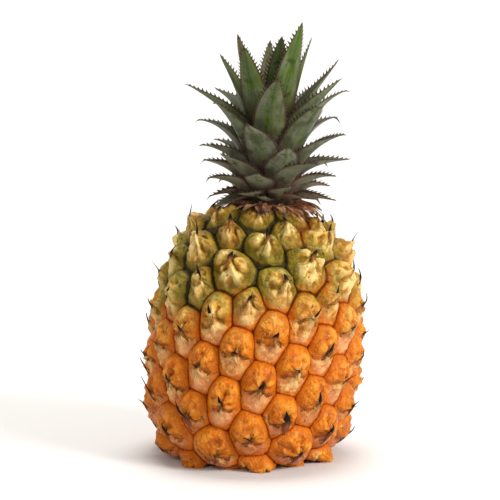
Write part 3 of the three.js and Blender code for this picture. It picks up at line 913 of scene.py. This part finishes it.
def add_turned(gathered, radii, heights, around, **marks):
    """A body of revolution round the crown's axis."""
    turn = np.arange(around) / around * 2 * math.pi
    radii = np.array(radii)[:, None]
    heights = np.array(heights)[:, None] + np.zeros(around)
    points = np.stack([radii * np.cos(turn), radii * np.sin(turn), heights], -1)
    faces = tube_faces(len(radii), around)
    gathered.add(points, faces, along=0.0, across=0.0, outside=1.0, tone=0.5, **marks)


def add_stem(gathered):
    low = FOOT_HEIGHT + 0.3
    radii = (stem_radius(low), STEM_RADIUS[1], 1.0)
    add_turned(gathered, radii, (low, STEM_HEIGHT, STEM_HEIGHT + 4), 24, leaf=0.3)


def foot_leaf(leaf):
    """A withered leaf, bent out over the fruit's shoulder, which is lower on the right."""
    wobble = wobbles(leaf, 20)
    bearing = LEAF_TURN * leaf + wobble(4, 6)
    droop = 1.2 * math.sin(math.radians(bearing))
    start = np.array([13.2, 1.6 + 0.04 * leaf])
    tip = np.array([28 + wobble(1, 3), 1.5 - droop + wobble(2, 1.2)])
    return Blade(
        angle=math.radians(bearing),
        twist=math.radians(wobble(5, 10)),
        drift=math.radians(wobble(6, 12)),
        route=arched(start, tip, 42 + wobble(3, 5), -32),
        width=6.4 + wobble(7, 1),
        base=0.7,
        channel=0.35,
        thickness=0.9,
        hook=lerp(-2.5, 1.5, draw(leaf, 84)),
    )


def frill_leaf(leaf):
    """A short dry scale between the withered leaves, close to the stem."""
    wobble = wobbles(leaf, 120)
    angle = math.radians(LEAF_TURN * (leaf + 0.37) + wobble(5, 8))
    right = max(0, math.sin(angle))
    start = np.array([12.5, 2.2 + wobble(1, 0.6)])
    tip = np.array([24.5 + 5 * right + wobble(2, 4), 2.5 - 4 * right + wobble(3, 3.5)])
    return Blade(
        angle=angle,
        twist=math.radians(wobble(6, 22)),
        drift=math.radians(wobble(7, 22)),
        route=arched(start, tip, 50 + wobble(4, 15), -42),
        width=2.8 + wobble(8, 1.2),
        base=0.7,
        channel=0.4,
        thickness=0.5,
        hook=lerp(-3, 2, draw(leaf, 85)),
    )


def foot_leaves():
    gathered = Gathered()
    for leaf in range(FOOT_LEAF_COUNT):
        blade = foot_leaf(leaf)
        marks = {"tone": draw(leaf, 81)}
        add_blade(gathered, blade, 18, **marks)
        add_teeth(gathered, blade, 0.7, **marks)
    for leaf in range(FRILL_COUNT):
        add_blade(gathered, frill_leaf(leaf), 12, tone=draw(leaf, 82))
    add_collar(gathered)
    made = gathered.piece("foot_leaves", withered_material(), "withered_leaf", in_crown)
    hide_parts("crown_foot_leaves")


def add_collar(gathered):
    radii = (SEAT_RADIUS, SEAT_RADIUS, STEM_RADIUS[0] - 2.0)
    add_turned(gathered, radii, (-3.0, 0.5, FOOT_HEIGHT), 40)


# Materials


def srgb(red, green, blue):
    """A colour given from 0 to 255, as the linear values that Blender works in."""
    values = [channel / 255 for channel in (red, green, blue)]
    linear = [v / 12.92 if v <= 0.04045 else ((v + 0.055) / 1.055) ** 2.4 for v in values]
    return (*linear, 1.0)


class Value:
    """An output of a material's node, which can be reckoned with like a number."""

    def __init__(self, paint, socket):
        self.paint = paint
        self.socket = socket

    def __add__(self, other):
        return self.paint.math("ADD", self, other)

    def __mul__(self, other):
        return self.paint.math("MULTIPLY", self, other)

    def __sub__(self, other):
        return self.paint.math("SUBTRACT", self, other)

    def __rsub__(self, other):
        return self.paint.math("SUBTRACT", other, self)

    def __abs__(self):
        return self.paint.math("ABSOLUTE", self)

    def ramp(self, low, high, start=0.0, end=1.0):
        """start where the value is low, end where it is high, smooth between."""
        feeds = {"Value": self, "From Min": low, "From Max": high, "To Min": start, "To Max": end}
        return self.paint.add("ShaderNodeMapRange", feeds, interpolation_type="SMOOTHSTEP")


class Paint:
    """A material's nodes, each added by a short call that returns the value to use next."""

    def __init__(self, name, roughness=0.5, **fixed):
        self.material = bpy.data.materials.new(name)
        self.material.use_nodes = True
        self.tree = self.material.node_tree
        self.shader = self.tree.nodes["Principled BSDF"]
        self.shader.inputs["Roughness"].default_value = roughness
        for key, value in fixed.items():
            self.shader.inputs[key.replace("_", " ")].default_value = value

    def add(self, kind, feeds, output=0, **settings):
        node = self.tree.nodes.new(kind)
        for key, value in settings.items():
            setattr(node, key, value)
        for socket, value in feeds.items():
            self.feed(node.inputs[socket], value)
        return Value(self, node.outputs[output])

    def feed(self, socket, value):
        if isinstance(value, Value):
            self.tree.links.new(value.socket, socket)
        else:
            socket.default_value = value

    def number(self, name):
        return self.add("ShaderNodeAttribute", {}, "Fac", attribute_name=name)

    def vector(self, name):
        return self.add("ShaderNodeAttribute", {}, "Vector", attribute_name=name)

    def place(self):
        return self.add("ShaderNodeTexCoord", {}, "Object")

    def math(self, operation, a, b=0.0):
        return self.add("ShaderNodeMath", {0: a, 1: b}, operation=operation)

    def height(self, place):
        return self.add("ShaderNodeSeparateXYZ", {0: place}, 2)

    def lanes(self, places, counts):
        """Places for noise that runs in lanes along a leaf, apart from those of other leaves."""
        lanes = [place * count for place, count in zip(places, counts, strict=True)]
        return self.add("ShaderNodeCombineXYZ", dict(enumerate(lanes)))

    def scaled(self, vector, by):
        return self.add("ShaderNodeVectorMath", {0: vector, 1: by}, operation="MULTIPLY")

    def noise(self, vector, scale, detail=3.0, roughness=0.55, distortion=0.0):
        feeds = {
            "Vector": vector,
            "Scale": scale,
            "Detail": detail,
            "Roughness": roughness,
            "Distortion": distortion,
        }
        return self.add("ShaderNodeTexNoise", feeds)

    def mix(self, share, a, b):
        feeds = {"Factor": share, 6: a, 7: b}
        return self.add("ShaderNodeMix", feeds, 2, data_type="RGBA")

    def finish(self, color, roughness=None, height=None, depth=0.0):
        self.feed(self.shader.inputs["Base Color"], color)
        if roughness is not None:
            self.feed(self.shader.inputs["Roughness"], roughness)
        if height is not None:
            feeds = {"Height": height, "Distance": depth * MM, "Strength": 1.0}
            normal = self.add("ShaderNodeBump", feeds)
            self.feed(self.shader.inputs["Normal"], normal)
        return self.material


SKIN_SHADE = 0.93


class Rind(Paint):
    """The skin: straw bracts, orange lobes above them, a green shoulder and dark grooves, partly
    painted shade.
    """

    def __init__(self):
        super().__init__(
            "ripe_rind",
            Specular_IOR_Level=0.2,
            Coat_Weight=0.04,
            Coat_Roughness=0.28,
            Subsurface_Weight=0.04,
            Subsurface_Radius=(1.0, 0.4, 0.08),
            Subsurface_Scale=0.0015,
        )
        place = self.place()
        ray = self.vector("ray")
        self.groove = self.number("groove")
        self.rim_way = self.number("rim")
        self.green = self.number("green")
        self.tone = self.number("tone")
        self.across = self.number("across")
        self.up = self.number("up")
        self.broad = self.noise(place, 60, 2)
        self.patches = self.noise(place, 190, 3, 0.5, 0.8)
        self.other = self.noise(self.scaled(place, (-1.2, 1.0, 0.9)), 290, 3, 0.5, 0.8)
        self.mottle = self.noise(self.scaled(place, (1.0, -1.0, 0.8)), 430, 3, 0.55, 0.8)
        self.fine = self.noise(place, 2400, 2)
        self.streaks = self.noise(self.scaled(ray, (8.0, 8.0, 1.2)), 1.5, 4, 0.6, 0.8)
        self.edge = self.number("lobe_edge") + self.other.ramp(0.3, 0.7, -0.12, 0.12)
        raised = self.number("raised") + self.other.ramp(0.3, 0.7, -0.35, 0.35)
        # Painted highlight where the relief stands high, painted shade where it sinks.
        self.raised_highlight = raised.ramp(0.05, 0.75)
        self.sunk_shade = raised.ramp(-0.2, -0.95)
        self.straw_patch = self.patches.ramp(0.4, 0.6)
        # The dark line along the crease where each lobe meets the bract: a mask for painted shade.
        line = abs(self.edge).ramp(0.06, 0.0) * self.up.ramp(0.45, 0.2)
        self.line = line * self.patches.ramp(0.42, 0.54, 0.0, 1.0)
        self.ripe = self.green * self.broad.ramp(0.36, 0.58, 0.65, 1.0)
        self.greened = self.ripe.ramp(0.25, 0.75)
        self.low = self.height(place).ramp(0.052, 0.014)

    def bract(self):
        """The lower half of an eye: straw, with a rosy flush that is strongest on the lowest."""
        bract = self.mix(self.straw_patch, srgb(200, 122, 48), srgb(228, 168, 84))
        bract = self.mix(self.streaks.ramp(0.5, 0.66, 0.0, 0.7), bract, srgb(204, 118, 14))
        # Painted shade in the sunk hollows, then a painted highlight on the raised lumps.
        bract = self.mix(self.sunk_shade * 0.75, bract, srgb(144, 72, 14))
        bract = self.mix(self.raised_highlight * 0.75, bract, srgb(244, 206, 132))
        bract = self.mix(self.mottle.ramp(0.56, 0.64, 0.0, 0.5), bract, srgb(246, 208, 132))
        rosy = self.broad.ramp(0.38, 0.56) * self.up.ramp(0.1, -0.5)
        bract = self.mix(rosy * 0.6, bract, srgb(232, 158, 108))
        flushed = self.low * self.up.ramp(0.2, -0.3)
        flushed = flushed * self.streaks.ramp(0.36, 0.6, 0.35, 0.85)
        return self.mix(flushed, bract, srgb(206, 118, 84))

    def lobe(self):
        """The two lobes above the bract, with painted shade in brown along their lower edges, where
        they dip under it.
        """
        lobe = self.mix(self.straw_patch, srgb(194, 92, 0), srgb(224, 126, 8))
        lobe = self.mix(self.streaks.ramp(0.54, 0.68, 0.0, 0.5), lobe, srgb(226, 138, 28))
        # Painted shade in the sunk hollows, then a painted highlight on the raised lumps.
        lobe = self.mix(self.sunk_shade * 0.65, lobe, srgb(140, 62, 2))
        lobe = self.mix(self.raised_highlight * 0.6, lobe, srgb(240, 162, 54))
        lobe = self.mix(self.mottle.ramp(0.56, 0.64, 0.0, 0.5), lobe, srgb(242, 172, 68))
        # Painted shade along each lobe's lower edge, where it dips under the bract.
        under = self.edge.ramp(-0.24, -0.05) * self.up.ramp(0.42, 0.05)
        return self.mix(under * 0.6, lobe, srgb(156, 86, 36))

    def creased(self, color):
        """Dark lines of painted crease shade between lobes and bract, and a brown streak up the
        bract's keel.
        """
        # Painted shade in the crease between lobe and bract.
        color = self.mix(self.line * 0.9, color, srgb(78, 36, 8))
        spine = self.up.ramp(-0.55, -0.12) * self.up.ramp(0.36, 0.18)
        spine = spine * abs(self.across).ramp(0.24, 0.03)
        spine = spine * self.streaks.ramp(0.42, 0.58, 0.1, 1.0)
        return self.mix(spine * 0.75, color, srgb(104, 62, 34))

    def greener(self, color):
        """Straw and olive instead of orange towards the crown."""
        olive = self.mix(self.patches.ramp(0.42, 0.6), srgb(76, 80, 6), srgb(142, 126, 26))
        straw = self.mix(self.straw_patch, srgb(184, 148, 40), srgb(230, 198, 94))
        # A painted highlight on the raised lumps, then painted shade in the sunk hollows.
        straw = self.mix(self.raised_highlight * 0.9, straw, srgb(250, 230, 152))
        straw = self.mix(self.sunk_shade * 0.7, straw, srgb(104, 90, 8))
        color = self.mix(self.ripe * 0.9, color, straw)
        inward = self.rim_way.ramp(7.5, 2.8, 0.0, 1.0)
        return self.mix(self.ripe * inward, color, olive)

    def rimmed(self, color):
        """An even colour along each eye's edge, and a tone of its own on each eye."""
        worn = self.rim_way + self.patches.ramp(0.3, 0.7, 0.0, 2.6)
        rim = self.mix(self.greened, srgb(208, 112, 8), srgb(138, 112, 14))
        color = self.mix(worn.ramp(4.6, 1.6, 0.0, 0.9), color, rim)
        return self.mix(self.tone.ramp(0.3, 1.0, 0.0, 0.3), color, srgb(196, 104, 10))

    def grooved(self, color):
        """Darker slopes and valleys between the eyes: the grooves' own darker tint, deepened with
        painted shade.
        """
        valley_tint_and_shade = self.mix(self.greened, srgb(150, 64, 2), srgb(54, 44, 0))
        slope_tint_and_shade = self.mix(self.greened, srgb(202, 98, 2), srgb(120, 102, 4))
        # Painted shade down the slopes and in the valleys, over the grooves' own darker tint.
        reached = self.groove + self.ripe * -1.7
        color = self.mix(reached.ramp(3.6, 0.5, 0.0, 0.85), color, slope_tint_and_shade)
        return self.mix(reached.ramp(1.1, 0.0), color, valley_tint_and_shade)

    def flecked(self, color):
        """Small dark specks, and plain brown where no eye grows."""
        specks = self.mottle.ramp(0.6, 0.66) * self.other.ramp(0.55, 0.62)
        color = self.mix(specks * 0.8, color, srgb(84, 36, 10))
        bare = 1.0 - self.number("real")
        color = self.mix(bare, color, srgb(120, 76, 24))
        return self.scaled(color, (SKIN_SHADE, SKIN_SHADE, SKIN_SHADE))

    def painted(self):
        """The finished material: lobes and bracts first, then each layer over them."""
        color = self.mix(self.edge.ramp(-0.04, 0.04), self.lobe(), self.bract())
        for layer in (self.creased, self.greener, self.rimmed, self.grooved, self.flecked):
            color = layer(color)
        rough = self.patches.ramp(0.3, 0.7, 0.36, 0.55)
        relief = self.streaks * 0.4 + self.mottle * 0.7 + self.fine * 0.06 + self.other
        relief = relief - self.line * 0.3
        return self.finish(color, rough, relief, 1.5)


def tip_material():
    paint = Paint("dried_bract", roughness=0.75, Specular_IOR_Level=0.15)
    along = paint.number("along")
    low = paint.number("low")
    tone = paint.number("tone")
    place = paint.place()
    patches = paint.noise(place, 900, 3)
    root = paint.mix(low, srgb(178, 116, 52), srgb(136, 62, 40))
    root = paint.mix(patches.ramp(0.4, 0.65), root, srgb(112, 68, 34))
    middle = paint.mix(tone.ramp(0.3, 0.9), srgb(84, 50, 30), srgb(46, 28, 18))
    color = paint.mix(along.ramp(0.22, 0.5), root, middle)
    color = paint.mix(along.ramp(0.42, 0.62), color, srgb(14, 9, 6))
    return paint.finish(color, None, patches, 0.25)


def fibre_material():
    paint = Paint("dry_fibre", roughness=0.75, Specular_IOR_Level=0.15)
    along = paint.number("along")
    tone = paint.number("tone")
    base = paint.mix(tone.ramp(0.2, 0.9), srgb(130, 88, 48), srgb(44, 28, 18))
    color = paint.mix(along, base, srgb(20, 13, 9))
    return paint.finish(color, None, paint.noise(paint.place(), 2500, 2), 0.05)


def leaf_material():
    paint = Paint("bloomed_leaf", Coat_Weight=0.04, Coat_Roughness=0.4, Specular_IOR_Level=0.25)
    place = paint.place()
    along = paint.number("along")
    across = paint.number("across")
    leaf = paint.number("leaf")
    tone = paint.number("tone")
    outside = paint.number("outside")
    off = abs(across)

    lanes = paint.lanes((across, along, tone), (9.0, 3.0, 40.0))
    streaks = paint.noise(lanes, 1.6, 4, 0.6)
    patches = paint.noise(place, 130, 4, 0.55, 0.5)
    broad = paint.noise(place, 45, 2)
    fine = paint.noise(place, 1500, 3)

    bloom = paint.mix(patches.ramp(0.38, 0.62), srgb(72, 77, 52), srgb(122, 127, 104))
    bloom = paint.mix(fine.ramp(0.52, 0.66, 0.0, 0.4), bloom, srgb(130, 134, 108))
    bloom = paint.mix(tone.ramp(0.3, 1.0, 0.0, 0.5), bloom, srgb(92, 80, 64))
    bloom = paint.mix(leaf.ramp(0.65, 0.1, 0.0, 0.6), bloom, srgb(142, 140, 116))
    fresh = paint.mix(streaks.ramp(0.35, 0.65), srgb(44, 68, 6), srgb(92, 112, 30))
    high = leaf.ramp(0.55, 0.95)
    middle = off.ramp(0.6, 0.1) * leaf.ramp(0.25, 0.75, 0.25, 1.0)
    rubbed = middle * patches.ramp(0.46, 0.6)
    greenness = high * broad.ramp(0.3, 0.6, 0.4, 0.95) + rubbed * 0.8
    color = paint.mix(paint.math("MINIMUM", greenness, 1.0), bloom, fresh)

    rub_streak = off.ramp(0.28, 0.02) * along.ramp(0.35, 0.75)
    rub_streak = rub_streak * streaks.ramp(0.42, 0.6)
    spots = patches.ramp(0.6, 0.66) * off.ramp(0.9, 0.4)
    dark = paint.math("MAXIMUM", rub_streak * 0.6, spots * 0.7)
    color = paint.mix(dark, color, srgb(16, 36, 4))

    flush = leaf.ramp(0.5, 0.05) * along.ramp(0.7, 0.1)
    flush = paint.math("MAXIMUM", flush, tone.ramp(0.86, 0.95, 0.0, 0.8))
    color = paint.mix(flush * 0.5, color, srgb(140, 114, 96))
    # Darker reddish brown towards each leaf's base: the base's own colour, deepened with painted
    # shade deep in the crown.
    base = along.ramp(0.54, 0.12)
    color = paint.mix(base * 0.7, color, srgb(86, 52, 40))

    # Inner faces darker olive: their own greener colour with less bloom, and painted shade in the
    # channels.
    inside = 1.0 - outside
    color = paint.mix(inside * 0.6, color, srgb(40, 44, 18))
    rim = (off + fine * 0.08).ramp(0.88, 0.99)
    color = paint.mix(rim * 0.8, color, srgb(70, 30, 20))
    teeth = off.ramp(1.02, 1.15)
    color = paint.mix(teeth, color, srgb(24, 12, 8))
    tip = (along + tone * 0.03).ramp(0.955, 0.99)
    color = paint.mix(tip * 0.85, color, srgb(64, 42, 24))

    rough = patches.ramp(0.3, 0.7, 0.42, 0.6)
    relief = streaks * 0.6 + fine * 0.3
    return paint.finish(color, rough, relief, 0.5)


def withered_material():
    paint = Paint("withered_leaf", roughness=0.7)
    place = paint.place()
    along = paint.number("along")
    across = paint.number("across")
    tone = paint.number("tone")
    patches = paint.noise(place, 320, 4, 0.6, 0.5)
    lanes = paint.lanes((across, along, tone), (6.0, 2.0, 30.0))
    streaks = paint.noise(lanes, 1.5, 4)
    color = paint.mix(tone.ramp(0.1, 0.9), srgb(142, 80, 50), srgb(168, 132, 88))
    color = paint.mix(streaks.ramp(0.4, 0.65), color, srgb(104, 56, 36))
    color = paint.mix(patches.ramp(0.45, 0.65), color, srgb(184, 132, 92))
    color = paint.mix(along.ramp(0.66, 0.95, 0.0, 0.85), color, srgb(50, 28, 18))
    color = paint.mix(along.ramp(0.25, 0.0, 0.0, 0.7), color, srgb(60, 26, 26))
    return paint.finish(color, None, streaks, 0.35)


def stalk_material():
    paint = Paint("cut_stalk", roughness=0.8)
    place = paint.place()
    pores = paint.add("ShaderNodeTexVoronoi", {"Vector": place, "Scale": 900.0})
    patches = paint.noise(place, 300, 3)
    color = paint.mix(patches.ramp(0.35, 0.65), srgb(186, 160, 112), srgb(140, 106, 66))
    color = paint.mix(pores.ramp(0.35, 0.1, 0.0, 0.7), color, srgb(88, 58, 36))
    return paint.finish(color, None, pores, 0.3)


# Stage


def stage():
    floor_material = Paint("pale_floor", roughness=0.75)
    fine = floor_material.noise(floor_material.place(), 3, 2)
    shade = floor_material.mix(fine, srgb(211, 208, 204), srgb(215, 212, 208))
    floor_material.finish(shade)
    width, near, far, top, bend = 4.0, -2.0, 1.6, 2.6, 0.8
    turn = np.linspace(0, math.pi / 2, 16)
    profile = [(near, 0.0)]
    profile += [(far - bend + bend * math.sin(a), bend - bend * math.cos(a)) for a in turn]
    profile += [(far, top)]
    points = [(side * width / 2, y, z) for y, z in profile for side in (-1, 1)]
    faces = [[2 * k, 2 * k + 1, 2 * k + 3, 2 * k + 2] for k in range(len(profile) - 1)]
    mesh = bpy.data.meshes.new("floor")
    mesh.from_pydata(points, [], faces)
    mesh.shade_smooth()
    floor = bpy.data.objects.new("floor", mesh)
    bpy.context.scene.collection.objects.link(floor)
    floor.data.materials.append(floor_material.material)


def area_light(name, place, aim, size, power, tint=(1, 1, 1)):
    data = bpy.data.lights.new(name, "AREA")
    data.shape = "DISK"
    data.size = size
    data.energy = power
    data.color = tint
    light = bpy.data.objects.new(name, data)
    light.location = place
    light.rotation_euler = (Vector(aim) - Vector(place)).to_track_quat("-Z", "Y").to_euler()
    bpy.context.scene.collection.objects.link(light)


def lights():
    aim = (0, 0, 0.09)
    area_light("key", (0.95, -0.72, 0.75), aim, 0.5, 19)
    area_light("fill", (-0.6, -1.1, 0.7), aim, 0.9, 3)
    area_light("back", (0.0, 0.3, 1.6), (0, 1.2, 0.3), 1.0, 30)
    world = bpy.data.worlds.new("studio")
    world.use_nodes = True
    world.node_tree.nodes["Background"].inputs["Color"].default_value = (1, 1, 1, 1)
    world.node_tree.nodes["Background"].inputs["Strength"].default_value = 0.46
    bpy.context.scene.world = world
    bpy.context.scene.view_settings.view_transform = "Standard"


def camera():
    rise = math.radians(CAMERA_RISE)
    aim_low = Vector((0, 0, AIM_HEIGHT))
    back = Vector((0, -math.cos(rise), math.sin(rise)))
    up = Vector((0, math.sin(rise), math.cos(rise)))
    right, above = AIM_OFFSET
    place = (aim_low + back * CAMERA_DISTANCE) * MM
    aim = (aim_low + Vector((right, 0, 0)) + up * above) * MM
    data = bpy.data.cameras.new("camera")
    data.sensor_width = SENSOR_WIDTH
    data.lens = SENSOR_WIDTH * CAMERA_DISTANCE / VIEW_WIDTH
    made = bpy.data.objects.new("camera", data)
    made.location = place
    made.rotation_euler = (aim - place).to_track_quat("-Z", "Y").to_euler()
    bpy.context.scene.collection.objects.link(made)
    bpy.context.scene.camera = made


def dress_stalk():
    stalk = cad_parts["stalk"]
    material = stalk_material()
    for slot in stalk.material_slots:
        slot.material = material


fruit_skin()
bract_tips()
fibres()
crown_leaves()
foot_leaves()
dress_stalk()
stage()
lights()
camera()
